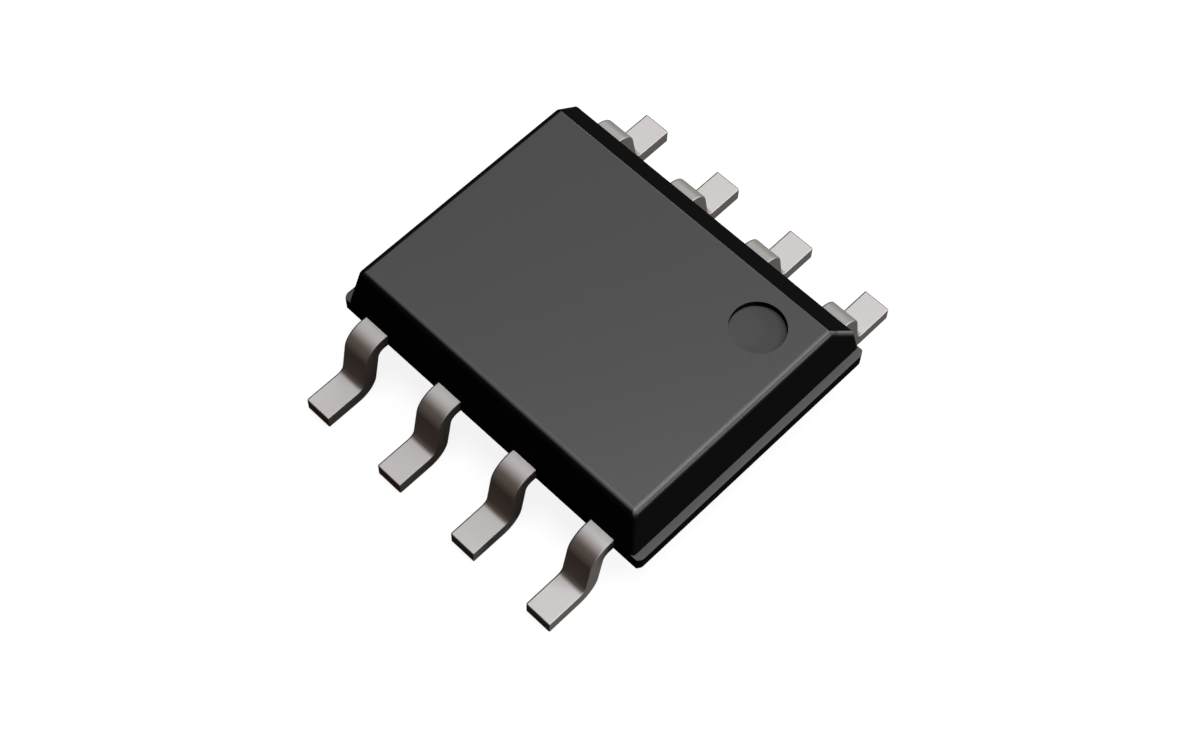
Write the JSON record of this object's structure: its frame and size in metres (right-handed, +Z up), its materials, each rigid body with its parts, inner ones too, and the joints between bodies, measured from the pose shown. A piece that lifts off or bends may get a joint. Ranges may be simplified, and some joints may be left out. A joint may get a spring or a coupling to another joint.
{
  "type": "adjustable voltage regulator",
  "caption": "Small surface-mount voltage regulator: a black moulded body with a chamfered side and a round pin 1 recess, on flat tinned gull-wing leads.",
  "frame": {"origin": "on the circuit board's surface, under the middle of the package", "axes": "+X along the body's long side, towards pin 1 and pin 8; +Y across the body towards pins 1 to 4 and the chamfered side; +Z up, out of the board"},
  "size_m": [0.005, 0.006, 0.0017],
  "materials": {
    "moulding_compound": "matte",
    "tinned_copper": "satin",
    "die_adhesive": "matte",
    "silicon": "polished",
    "gold_wire": "gloss"
  },
  "bodies": {
    "root": {"package_body": "moulding_compound", "output_leadframe": "tinned_copper", "input_lead": "tinned_copper", "adjust_lead": "tinned_copper", "unused_lead_pin_5": "tinned_copper", "unused_lead_pin_8": "tinned_copper", "die_attach": "die_adhesive", "regulator_die": "silicon", "input_wire_outer": "gold_wire", "input_wire_inner": "gold_wire", "adjust_wire": "gold_wire", "output_wire_pin_6": "gold_wire", "output_wire_pin_7": "gold_wire"}
  },
  "joints": []
}
